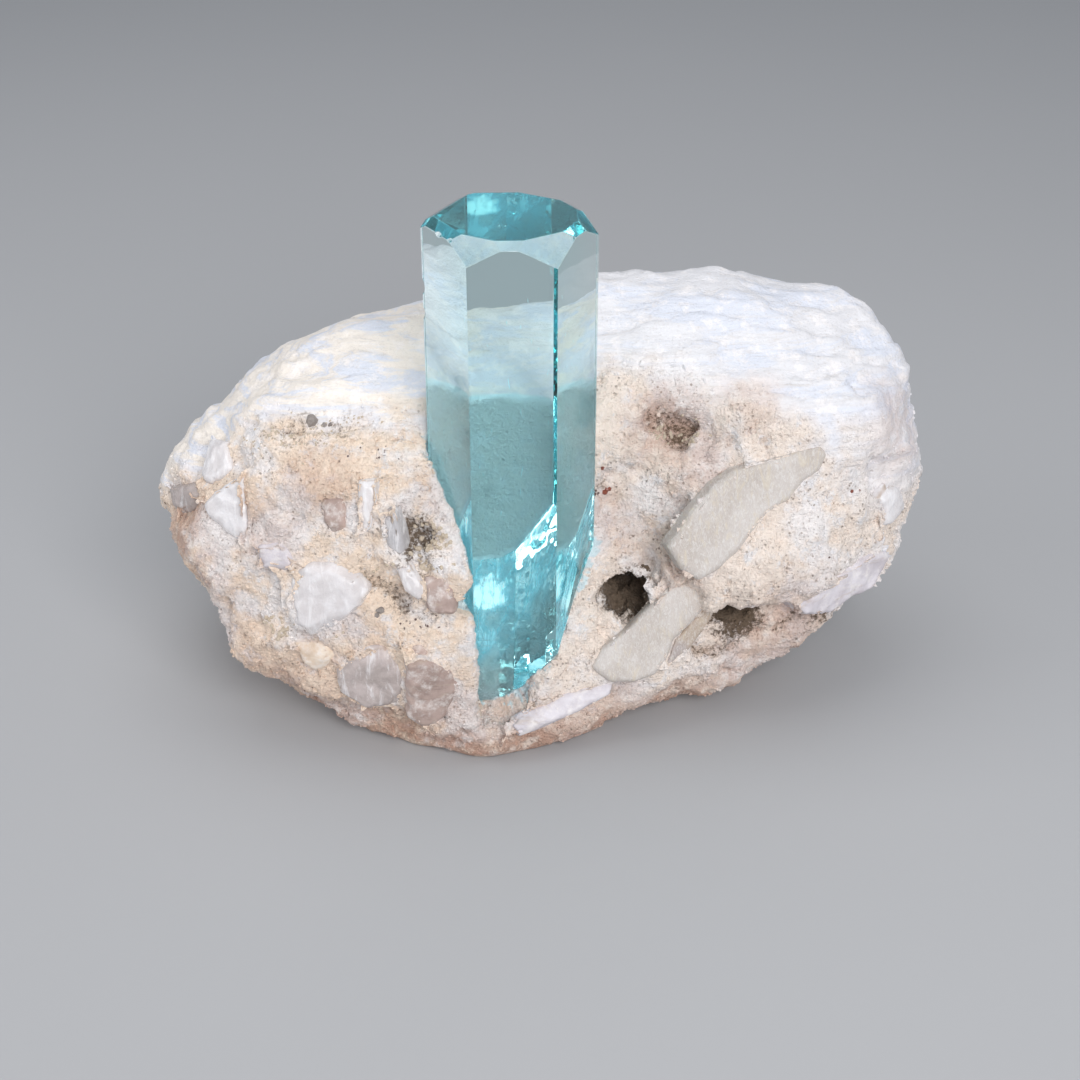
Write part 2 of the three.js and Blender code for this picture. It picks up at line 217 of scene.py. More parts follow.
# Flaws sealed in the prism: middle, length and width, in millimetres.
FLECKS = (
    ((-4.6, -17, 67.2), 0.9, 0.12),
    ((-3.9, -17.3, 67.5), 0.7, 0.1),
    ((-3.7, -18.5, 50.6), 1.6, 0.1),
    ((-2.3, -19, 47), 1.1, 0.09),
    ((-2.2, -20, 39.5), 1.5, 0.08),
    ((-7.2, -20.5, 40.3), 0.5, 0.12),
    ((-2.4, -19.5, 36.6), 1.2, 0.08),
    ((-4.8, -18, 33.1), 0.6, 0.1),
)

# Cracks and furrows in the lump: the points they run through, half their width, and their depth.
GROOVES = (
    (((40, -3.5, 42), (41.5, -8, 38), (43, -8, 30.5), (42.3, -9.5, 24.5), (41, -9, 17)), 0.9, 0.6),
    (((-21.6, -23, 26.2), (-19, -23.5, 23.5), (-16.8, -24.4, 21.3)), 0.9, 1.5),
    (((-16.8, -24.4, 21.3), (-14, -25.3, 21), (-11.5, -26, 20.4)), 0.45, 0.9),
    (((38, -11, 15), (31, -14.5, 12.4), (26, -16, 10.8), (20.6, -18, 10.5)), 0.9, 1.4),
    (((-37, -9, 39.5), (-32, -12, 40.6), (-27, -13.6, 41), (-22, -13.8, 41.3)), 0.6, 0.6),
    (((-31.5, -23.5, 17), (-27, -25.5, 15.6), (-22.5, -25.5, 17)), 0.6, 0.7),
    (((-8.5, -20, 43.5), (-14, -16, 42), (-18, -15.5, 40.5)), 0.5, 0.5),
    (((8, -12, 36), (11.5, -10.5, 33.5), (12.5, -13, 29)), 0.6, 0.6),
    (((20, -12, 33), (22, -13.5, 30), (19, -15.5, 27), (16.5, -17, 25)), 0.6, 0.8),
)

# The softboxes: name, place, side in metres, and the setting that holds the power.
SOFTBOXES = (
    ("top_box", (-0.03, 0.08, 0.42), 0.34, "top_light"),
    ("front_box", (0.16, -0.42, 0.30), 0.30, "front_light"),
    ("side_box", (-0.42, -0.08, 0.16), 0.22, "side_light"),
)


# ---------------------------------------------------------------- small helpers


def ramp(value, start, end):
    """0 before start, 1 after end, and a smooth rise between them."""
    share = min(max((value - start) / (end - start), 0), 1)
    return share * share * (3 - 2 * share)


def spots(p, places):
    """How strongly the stains in places colour the point p."""
    total = 0
    for centre, reach, strength in places:
        away = (p - Vector(centre)).length / reach
        if away < 1.6:
            total = max(total, strength * (1 - ramp(away, 0.35, 1.6)))
    return total


def to_line(p, points):
    """The distance from p to the line through some points."""
    best = 1e9
    for a, b in zip(points, points[1:]):
        a, b = Vector(a), Vector(b)
        along = min(max((p - a).dot(b - a) / (b - a).length_squared, 0), 1)
        best = min(best, (p - a.lerp(b, along)).length)
    return best


def groove_share(p):
    """How deep p lies in a groove, in millimetres."""
    deepest = 0
    wobble = p + 0.5 * noise.noise_vector(p * 0.6)
    for points, half, depth in GROOVES:
        away = to_line(wobble, points)
        if away < half * 1.6:
            deepest = max(deepest, depth * (1 - ramp(away / half, 0.1, 1.6)))
    return deepest


def pit_share(p):
    """How deep p lies in a crater, in millimetres."""
    deepest = 0
    wobble = p + 0.7 * noise.noise_vector(p * 0.7)
    for centre, reach, depth in PITS:
        away = (wobble - Vector(centre)).length / reach
        if away < 1.1:
            deepest = max(deepest, depth * (1 - ramp(away, 0.5, 1.1)))
    return deepest


def opened(mesh):
    """A bmesh of a mesh."""
    bm = bmesh.new()
    bm.from_mesh(mesh)
    return bm


def merged_copy(node):
    """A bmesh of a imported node's surface, its doubled corners merged."""
    bm = opened(frame["nodes"][node].data)
    bmesh.ops.remove_doubles(bm, verts=bm.verts, dist=WELD)
    return bm


def as_mesh(bm, name="passing"):
    """A mesh of bm, which is freed."""
    mesh = bpy.data.meshes.new(name)
    bm.to_mesh(mesh)
    bm.free()
    return mesh


def put_in_scene(name, data):
    """A new object of a mesh, a light or a camera."""
    thing = bpy.data.objects.new(name, data)
    bpy.context.scene.collection.objects.link(thing)
    return thing


def voxel_skin(bm, size):
    """The same closed surface as bm in even small quads."""
    mesh = as_mesh(bm)
    shell = put_in_scene("passing", mesh)
    remesh = shell.modifiers.new("Skin", "REMESH")
    remesh.mode = "VOXEL"
    remesh.voxel_size = size
    even = bmesh.new()
    even.from_object(shell, bpy.context.evaluated_depsgraph_get())
    bpy.data.objects.remove(shell)
    bpy.data.meshes.remove(mesh)
    return even


def soften(bm, verts, factor=0.5):
    """Moves vertices towards their neighbours."""
    bmesh.ops.smooth_vert(
        bm, verts=verts, factor=factor, use_axis_x=True, use_axis_y=True, use_axis_z=True
    )


def shift(bm, moves):
    """Moves each vertex of bm by its own move."""
    for v, move in zip(bm.verts, moves):
        v.co += move


def finish_piece(name, made, material, stands_for=(), smooth=True, values=None):
    """Makes a bmesh or a mesh an object that rides on the specimen.

    values are point attributes, name to numbers. Where smooth is None, the faces keep their shading.
    """
    mesh = made if isinstance(made, bpy.types.Mesh) else as_mesh(made, name)
    for key, numbers in (values or {}).items():
        mesh.attributes.new(key, "FLOAT", "POINT").data.foreach_set("value", numbers)
    if smooth is not None:
        mesh.polygons.foreach_set("use_smooth", [smooth] * len(mesh.polygons))
    mesh.materials.append(material)
    piece = put_in_scene(name, mesh)
    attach(piece, "root")
    if stands_for:
        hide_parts(*stands_for)
    return piece


def tree_from(bm):
    """A search tree over bm, which is freed."""
    tree = BVHTree.FromBMesh(bm)
    bm.free()
    return tree


def add_to(bm, other):
    """Adds the surface of another bmesh to bm, and frees the other."""
    mesh = as_mesh(other)
    bm.from_mesh(mesh)
    bpy.data.meshes.remove(mesh)


def tree_of(nodes):
    """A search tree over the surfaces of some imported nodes."""
    bm = bmesh.new()
    for node in nodes:
        add_to(bm, merged_copy(node))
    return tree_from(bm)


# ---------------------------------------------------------------- materials


class Finish:
    """A material's nodes, with one short call for each kind of node used here.

    Scales are per millimetre, and depths are in millimetres.
    """

    def __init__(self, name):
        self.material = bpy.data.materials.new(name)
        self.material.use_nodes = True
        self.tree = self.material.node_tree
        self.tree.nodes.clear()
        self.output = self.node("OutputMaterial")
        self.shader = self.node("BsdfPrincipled")
        self.feed(self.output.inputs["Surface"], self.shader.outputs["BSDF"])
        self.place = self.node("TexCoord").outputs["Object"]

    def feed(self, socket, value):
        if isinstance(value, bpy.types.NodeSocket):
            self.tree.links.new(value, socket)
        else:
            socket.default_value = value

    def feed_all(self, node, inputs):
        for key, value in inputs.items():
            self.feed(node.inputs[key.replace("_", " ")], value)

    def node(self, kind, **inputs):
        """A new node and what goes into it, underscores standing for spaces."""
        node = self.tree.nodes.new("ShaderNode" + kind)
        self.feed_all(node, inputs)
        return node

    def set(self, **inputs):
        """Feeds the shader's own sockets."""
        self.feed_all(self.shader, inputs)

    def attribute(self, name):
        node = self.node("Attribute")
        node.attribute_name = name
        return node.outputs["Fac"]

    def noise(self, scale, detail=4, rough=0.55, warp=0, at=None):
        node = self.node(
            "TexNoise",
            Vector=at or self.place,
            Scale=1 if at else scale / MM,
            Detail=detail,
            Roughness=rough,
            Distortion=warp,
        )
        return node.outputs["Fac"]

    def streaks(self, scale, turn, detail, rough, warp):
        """Noise with its own scale along each axis, turned by degrees."""
        angles = [math.radians(a) for a in turn]
        at = self.node("Mapping", Vector=self.place, Rotation=angles, Scale=[s / MM for s in scale])
        return self.noise(1, detail, rough, warp, at.outputs["Vector"])

    def cells(self, scale):
        return self.node("TexVoronoi", Vector=self.place, Scale=scale / MM).outputs["Distance"]

    def span(self, value, low, high, out_low=0, out_high=1):
        """Rises smoothly from out_low to out_high, as value goes from low to high."""
        node = self.node(
            "MapRange", Value=value, From_Min=low, From_Max=high, To_Min=out_low, To_Max=out_high
        )
        node.interpolation_type = "SMOOTHSTEP"
        return node.outputs["Result"]

    def maths(self, operation, first, second):
        node = self.node("Math")
        node.operation = operation
        self.feed(node.inputs[0], first)
        self.feed(node.inputs[1], second)
        return node.outputs["Value"]

    def times(self, first, second):
        return self.maths("MULTIPLY", first, second)

    def blend(self, share, first, second, mode="MIX"):
        node = self.node("Mix")
        node.data_type = "RGBA"
        node.blend_type = mode
        node.clamp_result = True
        self.feed(node.inputs["Factor"], share)
        for socket, value in ((node.inputs[6], first), (node.inputs[7], second)):
            self.feed(socket, value if isinstance(value, bpy.types.NodeSocket) else (*value, 1))
        return node.outputs[2]

    def coats(self, base, *coats):
        """Lays colours over base. Each has a pattern, the values where it starts and is full, its
        share there and its colour."""
        for pattern, start, full, share, over in coats:
            base = self.blend(self.span(pattern, start, full, 0, share), base, over)
        return base

    def bumps(self, *layers):
        """Bump over bump. Each has a height, a depth and a strength."""
        normal = None
        for height, depth, strength in layers:
            node = self.node("Bump", Height=height, Distance=depth * MM, Strength=strength)
            if normal:
                self.feed(node.inputs["Normal"], normal)
            normal = node.outputs["Normal"]
        self.set(Normal=normal)

    def stone(self, base, rim, roughness, *layers):
        """What blades and blocks have alike: a brown rim, a roughness and bumps."""
        self.set(Base_Color=self.blend(self.attribute("rim"), base, rim), Roughness=roughness)
        self.bumps(*layers)
        return self.material


def albite_finish(look):
    """Laminated white plateau, sugary cream front and rust, with painted shade in hollows, pits and
    cracks and painted cyan light on the walls behind the crystal, from the lump's own point values.
    """
    f = Finish("albite")
    plateau, relief, cream, stain, pit_shade_share, crystal_lit_share = (f.attribute(key) for key in POINT_VALUES)
    broad = f.noise(0.13, 4, 0.6)
    middle = f.noise(0.45, 5, 0.66)
    fine = f.noise(1.6, 4, 0.68)
    grit = f.noise(3.2, 3, 0.65)
    peach = f.times(f.span(broad, 0.4, 0.56), f.span(cream, 0, 1, 0.6, 1))
    sugar = f.coats(
        f.blend(peach, look.sugar_colour, look.peach_colour),
        (middle, 0.53, 0.68, 0.7, look.frost_colour),
        (fine, 0.54, 0.7, 0.28, look.tan_colour),
        (grit, 0.56, 0.7, 0.12, look.grit_and_hollow_shade_colour),
    )
    bands = f.streaks((0.05, 0.15, 0.55), (8, -3, 0), 6, 0.66, 0.6)
    seams = f.streaks((0.16, 0.6, 2.0), (8, -3, 0), 5, 0.72, 0.8)
    warmth = f.times(f.span(cream, 0, 1, 0.35, 1), f.span(bands, 0.42, 0.54))
    silk = f.coats(
        f.blend(warmth, look.plateau_colour, look.cream_colour),
        (seams, 0.53, 0.72, 0.6, look.seam_colour),
        (middle, 0.5, 0.66, 0.55, look.sugar_colour),
        (fine, 0.54, 0.74, 0.4, look.seam_colour),
    )
    colour = f.blend(plateau, sugar, silk)
    # Painted shade: the deeper the relief's hollows, the darker the colour is multiplied.
    colour = f.blend(f.span(relief, -0.7, -1.8, 0, 0.7), colour, look.grit_and_hollow_shade_colour, "MULTIPLY")
    crowd = f.span(f.noise(0.28, 3, 0.6), 0.44, 0.6)
    dots = f.maths("MAXIMUM", f.span(f.cells(1.3), 0.3, 0.08), f.span(f.cells(2.4), 0.24, 0.06, 0, 0.8))
    pores = f.times(f.times(dots, crowd), f.span(plateau, 0.9, 0.1, 0.15, 0.8))
    colour = f.blend(pores, colour, look.speck_colour)
    colour = f.blend(f.times(stain, f.span(middle, 0.32, 0.56, 0.25, 1)), colour, look.rust_colour)
    # Painted shade: the mask of pits, cracks and recesses, broken up by fine noise, darkens them.
    soot = f.maths("ADD", pit_shade_share, f.span(fine, 0.3, 0.7, -0.32, 0.28))
    # Painted cyan light on the walls behind the crystal, laid over the painted shade.
    colour = f.coats(
        colour,
        (soot, 0.3, 0.8, 0.95, look.pit_shade_colour),
        (crystal_lit_share, 0, 1, 0.75, look.crystal_light_colour),
    )
    f.set(Base_Color=colour, Roughness=f.span(plateau, 0, 1, 0.85, 0.55))
    rough = f.span(plateau, 0, 1, 1, 0.4)
    f.bumps(
        (f.times(grit, rough), 0.2, 0.7),
        (f.times(fine, rough), 0.5, 0.7),
        (f.times(f.cells(1.7), rough), 0.24, 0.5),
        (seams, 0.3, 0.7),
        (f.maths("SUBTRACT", 1, pores), 0.2, 0.6),
    )
    return f.material


def beryl_finish(look):
    """Clear blue-green beryl: plain transmission, with the tint in the volume."""
    f = Finish("beryl")
    f.set(Base_Color=(1, 1, 1, 1), Roughness=0, IOR=look.ior, Transmission_Weight=1)
    tint = f.node("VolumeAbsorption", Color=(*look.tint, 1), Density=look.density)
    f.feed(f.output.inputs["Volume"], tint.outputs["Volume"])
    return f.material


def film_finish(look):
    """The air film on the break, inside the crystal. Its point value says how bright it is. Its pale
    colour and faint glow are painted light: they stand for the light that the break reflects and that
    the prism carries down to it."""
    f = Finish("air_film")
    cloud = f.noise(0.7, 5, 0.68, 0.6)
    lines = f.streaks((1.5, 0.3, 0.3), (0, 20, 24), 5, 0.7, 0.6)
    film = f.times(f.attribute("film"), f.span(lines, 0.36, 0.62, 0.6, 1.2))
    colour = f.blend(f.span(film, 0.42, 1.0), look.film, look.film_light)
    f.set(
        Base_Color=colour,
        Emission_Color=colour,
        Alpha=f.times(film, f.span(cloud, 0.3, 0.62, 0.6, 1.15)),
        Roughness=0.5,
        Emission_Strength=look.glow,
    )
    return f.material


def fleck_finish(look):
    """A white fleck sealed in the crystal."""
    f = Finish("white_fleck")
    f.set(
        Base_Color=f.blend(f.noise(3, 2), look.film_light, look.film),
        Roughness=0.4,
        # Painted light: the flecks glow faintly, as if catching light in the crystal.
        Emission_Color=(*look.film_light, 1),
        Emission_Strength=0.5 * look.glow,
    )
    return f.material


def blade_finish(look, name, colour, shade):
    """A feldspar blade: warm grey with fine wavy pale fibres and a silky face."""
    f = Finish(name)
    cloud = f.noise(0.16, 4, 0.6)
    fibres = f.streaks((3.4, 1.4, 1.5), (0, 34, 0), 5, 0.66, 1.4)
    across = f.streaks((1.1, 0.4, 0.35), (0, -42, 0), 5, 0.66, 0.8)
    base = f.coats(
        f.blend(f.span(cloud, 0.36, 0.64), colour, shade),
        (fibres, 0.44, 0.66, 0.5, look.blade_light),
        (across, 0.5, 0.68, 0.55, look.blade_warm),
        (f.noise(1.1, 4, 0.7), 0.62, 0.8, 0.3, look.grime),
    )
    roughness = f.span(cloud, 0.3, 0.7, 0.45, 0.65)
    tooth = f.noise(3, 3)
    layers = (fibres, 0.22, 0.6), (across, 0.2, 0.5), (tooth, 0.12, 0.5)
    return f.stone(base, look.rim_colour, roughness, *layers)


def quartz_finish(look, name, colour, shade):
    """Milky quartz: glassy, cloudy inside, with soft white veils."""
    f = Finish(name)
    cloud = f.noise(0.22, 5, 0.6, 0.4)
    veils = f.streaks((0.8, 0.3, 0.16), (0, 32, 10), 6, 0.72, 0.7)
    base = f.coats(
        f.blend(f.span(cloud, 0.36, 0.58), colour, shade),
        (veils, 0.5, 0.66, 0.6, look.quartz_veil),
        (f.noise(1.3, 4, 0.7), 0.62, 0.8, 0.35, look.dust),
    )
    f.set(Subsurface_Weight=0.3, Subsurface_Radius=(1.0, 0.95, 0.9), Subsurface_Scale=1.2 * MM)
    roughness = f.span(f.noise(0.9, 3), 0.35, 0.7, 0.16, 0.4)
    dents = f.noise(0.55, 4, 0.6, 0.6)
    tooth = f.noise(2.6, 3, 0.6)
    layers = (dents, 0.18, 0.5), (veils, 0.16, 0.5), (tooth, 0.08, 0.5)
    return f.stone(base, look.rim_colour, roughness, *layers)


def feldspar_finish(look, name, colour, shade):
    """Blocky feldspar: stepped cleavage, dull to pearly, with sugar clinging to it."""
    f = Finish(name)
    cloud = f.noise(0.28, 5, 0.62)
    steps = f.streaks((0.25, 0.3, 1.1), (0, 58, 20), 4, 0.6, 0.8)
    base = f.coats(
        f.blend(f.span(cloud, 0.36, 0.64), colour, shade),
        (steps, 0.55, 0.72, 0.5, look.grime),
        (f.noise(0.5, 6, 0.72), 0.46, 0.66, 0.6, look.dust),
    )
    roughness = f.span(cloud, 0.3, 0.7, 0.4, 0.7)
    tooth = f.noise(2.4, 4, 0.6)
    return f.stone(base, look.rim_colour, roughness, (steps, 0.3, 0.5), (tooth, 0.15, 0.5))


def plain_finish(name, colour, shade, roughness):
    """A small dark mineral, mottled."""
    f = Finish(name)
    f.set(Base_Color=f.blend(f.noise(2.5, 3), colour, shade), Roughness=roughness)
    return f.material


def floor_finish(look):
    """A pale matt board with a very faint tooth."""
    f = Finish("board")
    lighter = [c * 1.03 for c in look.floor_colour]
    f.set(Base_Color=f.blend(f.noise(0.01, 3), look.floor_colour, lighter), Roughness=0.9)
    f.bumps((f.noise(0.5, 3), 0.05, 0.1))
    return f.material


# ---------------------------------------------------------------- the lump


def plateau_share(p, facing):
    """1 on the smooth laminated top, 0 on the sugary front and flanks. p is in millimetres."""
    edge = np.interp(p.x, PLATEAU_EDGE_X, PLATEAU_EDGE_Y)
    edge += 3 * noise.noise(p * 0.16) + 1.6 * noise.noise(p * 0.5)
    right = 0.8 * ramp(p.x, 33, 42) * ramp(p.z, 22, 30) * ramp(p.y, -12, -7)
    top = ramp(p.y, edge - 2, edge + 4) * ramp(facing.z, 0.02, 0.35)
    return max(top, right)


def crease(p):
    """Sharp ridges and rounded troughs, -1 to 1."""
    return 1 - 2.6 * abs(noise.noise(p))


def sugary(p):
    """Height of the sugary front over its mean, in millimetres."""
    lumps = 0.85 * noise.noise(p * 0.2) + 0.5 * noise.noise(p * 0.55 + Vector((7, 1, 3)))
    crumbs = 0.25 * noise.noise(p * 1.25) + 0.2 * crease(p * 0.8)
    loose = ramp(noise.noise(p * 0.1 + Vector((1, 8, 2))), -0.15, 0.3)
    pits = ramp(noise.noise(p * 0.5 + Vector((3, 9, 5))), 0.24, 0.42)
    return lumps + crumbs - 0.6 * pits * loose - pit_share(p)


def silky(p):
    """Height of the laminated plateau over its mean, in millimetres."""
    swell = 0.6 * noise.noise(p * 0.11) + 0.28 * noise.noise(p * 0.36)
    level = p.z * 0.9 + p.y * 0.3 + 3.2 * noise.noise(p * 0.06) + 1.1 * noise.noise(p * 0.2)
    sheet = (level / 2.6) % 1
    step = 0.42 * (ramp(sheet, 0, 0.8) - ramp(sheet, 0.88, 1) - 0.4)
    patchy = ramp(noise.noise(p * 0.13 + Vector((5, 5, 1))), -0.25, 0.3)
    bent = p + 1.5 * noise.noise_vector(p * 0.12)
    fibres = crease(Vector((bent.x * 0.16, bent.y * 0.5, bent.z * 1.05)))
    folds = crease(Vector((bent.x * 0.36, bent.y * 0.26, bent.z * 0.2)))
    drape = ramp(p.x, 26, 36) * (1 - ramp(p.z, 41, 46)) * ramp(noise.noise(p * 0.09), -0.4, 0.2)
    return swell + step * patchy + 0.17 * (1 - drape) * fibres + 0.26 * drape * folds


def fused_lump(look):
    """The lump and slightly grown copies of what is set in it, in one even skin."""
    bm = merged_copy("matrix")
    for node in STONES:
        grown = merged_copy(node)
        grown.normal_update()
        shift(grown, [v.normal * look.bond * v.calc_shell_factor() for v in grown.verts])
        add_to(bm, grown)
    bm = voxel_skin(bm, look.skin)
    for _ in range(4):
        soften(bm, bm.verts)
    bm.normal_update()
    return bm


def raise_relief(bm):
    """Moves the skin in and out to its fine relief. Gives the point values that its finish reads."""
    values = {key: [] for key in POINT_VALUES}
    prism = tree_of(["aquamarine"])
    moves = []
    for v in bm.verts:
        p = v.co / MM
        top = plateau_share(p, v.normal)
        groove = groove_share(p)
        ragged = spots(p, RAGGED)
        torn = noise.noise(p * 0.4) + 0.5 * noise.noise(p * 1.1)
        height = top * silky(p) + (1 - top) * sugary(p) - groove + ragged * torn
        moves.append(v.normal * height * MM * ramp(p.z, 0.15, 1.6))
        values["plateau"].append(top)
        values["relief"].append(height)
        values["cream"].append(1 - ramp(p.x + 6 * noise.noise(p * 0.12), -16, 4))
        foot = 0.9 * (1 - ramp(p.z + 3 * noise.noise(p * 0.2), 1.5, 9)) * (1 - ramp(p.y, -8, 2))
        values["rust"].append(max(spots(p, RUST), foot))
        # How squarely the skin faces the crystal, where painted cyan light from the crystal falls.
        spot, facing, _, _ = prism.find_nearest(v.co, SOCKET_REACH)
        values["socket"].append(0 if spot is None else ramp(-facing.dot(v.normal), 0.5, 0.9))
        # Painted shade: darker in the listed pits and recesses and along the grooves.
        values["soot"].append(max(spots(p, PIT_SHADE), 0.5 * min(groove, 1)))
    shift(bm, moves)
    bm.normal_update()
    return values


def tuck_under(bm, tree, look):
    """Sinks the skin where it lies over a blade or block, so that the blade or block shows."""
    reach = 4 * look.bond
    for _ in range(2):
        sunk = []
        for v in bm.verts:
            spot, facing, _, _ = tree.find_nearest(v.co, reach)
            if spot is None or facing.dot(v.normal) < 0.35:
                continue
            away = v.co - spot
            proud = away.dot(facing) + look.tuck
            beside = (away - facing * away.dot(facing)).length > 0.1 * MM
            if proud > 0 and not beside:
                v.co -= facing * proud
                sunk.append(v)
        around = dict.fromkeys(u for v in sunk for e in v.link_edges for u in e.verts)
        soften(bm, list(around), 0.4)
        bm.normal_update()


def shade_by_bend(bm, least=0.5):
    """Shades the skin smooth, but for the faces that turn sharply from their neighbours."""
    bm.normal_update()
    for face in bm.faces:
        face.smooth = all(face.normal.dot(v.normal) > least for v in face.verts)


def keep_clear(bm, tree, gap):
    """Keeps the skin a gap away from the crystal."""
    for v in bm.verts:
        spot, facing, _, _ = tree.find_nearest(v.co, 6 * gap)
        if spot is None:
            continue
        away = (v.co - spot).dot(facing)
        if away < gap:
            v.co = spot + facing * gap


def keep_inside(bm, box):
    """Keeps the skin inside a box, given as its lowest and highest corners."""
    low, high = box
    for v in bm.verts:
        v.co = [min(max(c, a), b) for c, a, b in zip(v.co, low, high)]


def rock_parts(look):
    """The lump's finished skin and its point values."""
    bm = fused_lump(look)
    values = raise_relief(bm)
    tuck_under(bm, tree_of(STONES), look)
    keep_clear(bm, tree_of(["aquamarine"]), look.gap)
    keep_inside(bm, CAD_BOX)
    shade_by_bend(bm)
    return bm, values


# ---------------------------------------------------------------- grains


def grain_shape():
    """The corners and faces of one blocky grain of unit size."""
    bm = bmesh.new()
    bmesh.ops.create_icosphere(bm, subdivisions=1, radius=1)
    corners = np.array([v.co for v in bm.verts])
    faces = np.array([[v.index for v in f.verts] for f in bm.faces])
    bm.free()
    return corners, faces


def scattered(corners, faces, places, turns, sizes):
    """A mesh of copies of one shape, at places, with turns (matrices) and sizes along its axes."""
    count = len(places)
    points = np.einsum("nij,nkj->nki", turns, corners[None] * sizes[:, None, :]) + places[:, None, :]
    loops = faces[None] + (np.arange(count) * len(corners))[:, None, None]
    mesh = bpy.data.meshes.new("scatter")
    mesh.vertices.add(count * len(corners))
    mesh.vertices.foreach_set("co", points.ravel())
    mesh.loops.add(loops.size)
    mesh.loops.foreach_set("vertex_index", loops.ravel())
    mesh.polygons.add(count * len(faces))
    mesh.polygons.foreach_set("loop_start", np.arange(count * len(faces)) * faces.shape[1])
    mesh.update(calc_edges=True)
    return mesh


def random_turns(draw, count):
    """Random turns, as matrices."""
    q = draw.normal(size=(count, 4))
    q /= np.linalg.norm(q, axis=1)[:, None]
    w, x, y, z = q.T
    return np.stack(
        [
            np.stack([1 - 2 * (y * y + z * z), 2 * (x * y - z * w), 2 * (x * z + y * w)], -1),
            np.stack([2 * (x * y + z * w), 1 - 2 * (x * x + z * z), 2 * (y * z - x * w)], -1),
            np.stack([2 * (x * z - y * w), 2 * (y * z + x * w), 1 - 2 * (x * x + y * y)], -1),
        ],
        1,
    )


def faces_of(mesh):
    """Centres, outward directions, areas and first corners of a mesh's faces."""
    count = len(mesh.polygons)
    centres, facings, areas = np.empty(count * 3), np.empty(count * 3), np.empty(count)
    mesh.polygons.foreach_get("center", centres)
    mesh.polygons.foreach_get("normal", facings)
    mesh.polygons.foreach_get("area", areas)
    starts = np.array([p.vertices[0] for p in mesh.polygons])
    return centres.reshape(-1, 3), facings.reshape(-1, 3), areas, starts


def point_values(mesh, keys):
    """The mesh's own point values, name to numbers."""
    found = {}
    for key in keys:
        numbers = np.empty(len(mesh.vertices), np.float32)
        mesh.attributes[key].data.foreach_get("value", numbers)
        found[key] = numbers
    return found


# ---------------------------------------------------------------- the crystal


def break_ripple(p):
    """Height of the conchoidal ripples on the break, in millimetres."""
    rings = math.sin(2.2 * (p - Vector((-9, -26, 2))).length + 2.4 * noise.noise(p * 0.3))
    return 0.045 * rings + 0.2 * noise.noise(p * 0.34) + 0.07 * noise.noise(p * 0.95)


def etch(p):
    """Height of the fine pitting on the heel, in millimetres."""
    return 0.014 * noise.noise(p * 1.3) + 0.012 * crease(p * 0.8) + 0.03 * noise.noise(p * 0.4)


def is_break(face):
    """True for the oblique break under the prism."""
    return face.normal.z < BREAK_FACING


def is_heel(face):
    """True for the face that leans in at the foot of the prism's front."""
    return BREAK_FACING <= face.normal.z < HEEL_FACING and face.normal.y < -0.5


def crystal_parts(look):
    """The crystal's surface: flat faces and softened edges."""
    bm = merged_copy("aquamarine")
    bmesh.ops.dissolve_limit(bm, angle_limit=ONE_PLANE, verts=bm.verts, edges=bm.edges)
    bm.normal_update()
    sharp = [e for e in bm.edges if e.calc_face_angle(0) > WORN_ANGLE]
    bmesh.ops.bevel(
        bm,
        geom=[e for e in sharp if e.verts[0].co.z > SHARP_FOOT],
        offset=look.edge,
        affect="EDGES",
        segments=2,
        profile=0.5,
        material=-1,
    )
    bm.normal_update()
    return bm


def divide(bm, chosen, step):
    """Divides the faces that chosen picks until none of their edges is longer than step."""
    bmesh.ops.triangulate(bm, faces=[f for f in bm.faces if chosen(f)])
    for _ in range(8):
        sides = dict.fromkeys(e for f in bm.faces if chosen(f) for e in f.edges)
        long = [e for e in sides if e.calc_length() > step]
        if not long:
            break
        bmesh.ops.subdivide_edges(bm, edges=long, cuts=1)
        bmesh.ops.triangulate(bm, faces=[f for f in bm.faces if chosen(f)])
    bm.normal_update()


def ripple_break(bm, look):
    """Ripples the break and pits the heel."""
    divide(bm, is_break, look.ripple_step)
    divide(bm, is_heel, look.ripple_step)
    under = {v for f in bm.faces if is_break(f) for v in f.verts}
    front = {v for f in bm.faces if is_heel(f) for v in f.verts if all(map(is_heel, v.link_faces))}
    for v in under:
        depth = 0.1 + 0.9 * ramp(v.co.y / MM, -21, -14)
        v.co.z += break_ripple(v.co / MM) * depth * look.ripple * MM
    for v in front:
        v.co.y += etch(v.co / MM) * look.ripple * MM
    shade_by_bend(bm, 0.93)
    for face in bm.faces:
        face.smooth = face.smooth and face.calc_area() < WIDE_FACE
    return bm


def film_depth(p):
    """How bright the film's painted light on the break is at p, 0 to 1."""
    streaks = crease(Vector((p.x * 0.4 - p.y * 0.3, p.y * 0.08 + p.x * 0.06, 0)) + Vector((3, 0, 0)))
    away = (p - GLOW_CENTRE) * 0.9 + 0.9 * noise.noise_vector(p * 0.6)
    glow = 1 - ramp(away.length, 1.2, 3.2)
    back = ramp(p.y + 0.5 * noise.noise(p * 0.9), -8.1, -6.9) * ramp(p.x, -8.5, -6)
    front = ramp(p.y - 0.3 * p.x, -18, -12.5)
    # Painted light: a faint even glow over the front of the film.
    front_glow = 0.27 * front + 0.14 * front * noise.noise(p * 0.3)
    return min(front_glow + 0.28 * front * ramp(streaks, 0.5, 0.95) + 0.75 * glow + 0.35 * back, 1)


def prism_middle():
    """The middle of the crystal's box."""
    low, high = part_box("aquamarine")
    return (low + high) / 2


def film_parts(crystal, inset):
    """A sheet just inside the crystal's break, and how bright its painted light is at each point."""
    bm = opened(crystal)
    bm.normal_update()
    bmesh.ops.delete(bm, geom=[f for f in bm.faces if not is_break(f)], context="FACES")
    bm.normal_update()
    axis = prism_middle()
    for v in bm.verts:
        inward = Vector((axis.x - v.co.x, axis.y - v.co.y, 0)).normalized()
        v.co += (inward - v.normal) * inset
    values = {"film": [film_depth(v.co / MM) for v in bm.verts]}
    return bm, values


